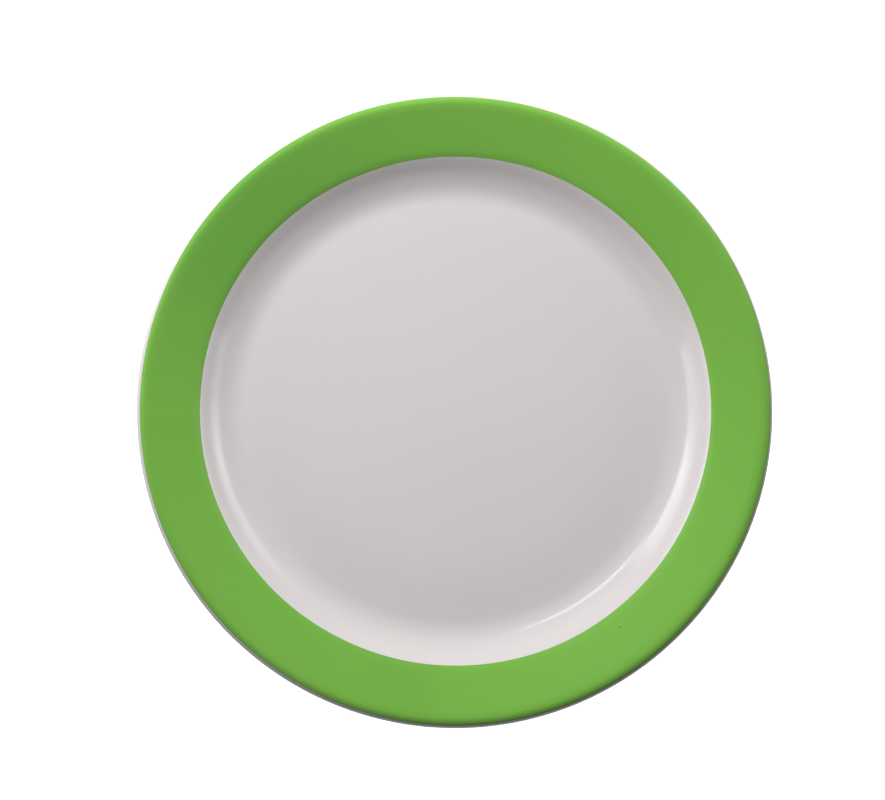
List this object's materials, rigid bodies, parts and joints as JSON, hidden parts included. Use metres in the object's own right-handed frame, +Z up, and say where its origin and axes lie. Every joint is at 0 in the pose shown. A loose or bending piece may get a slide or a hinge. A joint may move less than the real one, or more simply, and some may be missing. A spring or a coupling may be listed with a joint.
{
  "type": "dinner plate",
  "caption": "Round china dinner plate with a wide flat well, a sloping wall, a wide rim under a green glaze band, a rolled white lip and a foot ring.",
  "frame": {"origin": "centre of the circle that the foot ring stands on, at the plate's lowest level", "axes": "+Z up along the plate's axis, out of the well; the plate is round, so +X and +Y are any two crosswise directions"},
  "size_m": [0.27, 0.27, 0.0218],
  "materials": {
    "fired_porcelain": "matte",
    "green_glaze": "gloss",
    "clear_glaze": "gloss"
  },
  "bodies": {
    "root": {"porcelain_body": "fired_porcelain", "rim_band": "green_glaze", "well_glaze": "clear_glaze", "back_glaze": "clear_glaze", "foot_recess_glaze": "clear_glaze"}
  },
  "joints": []
}
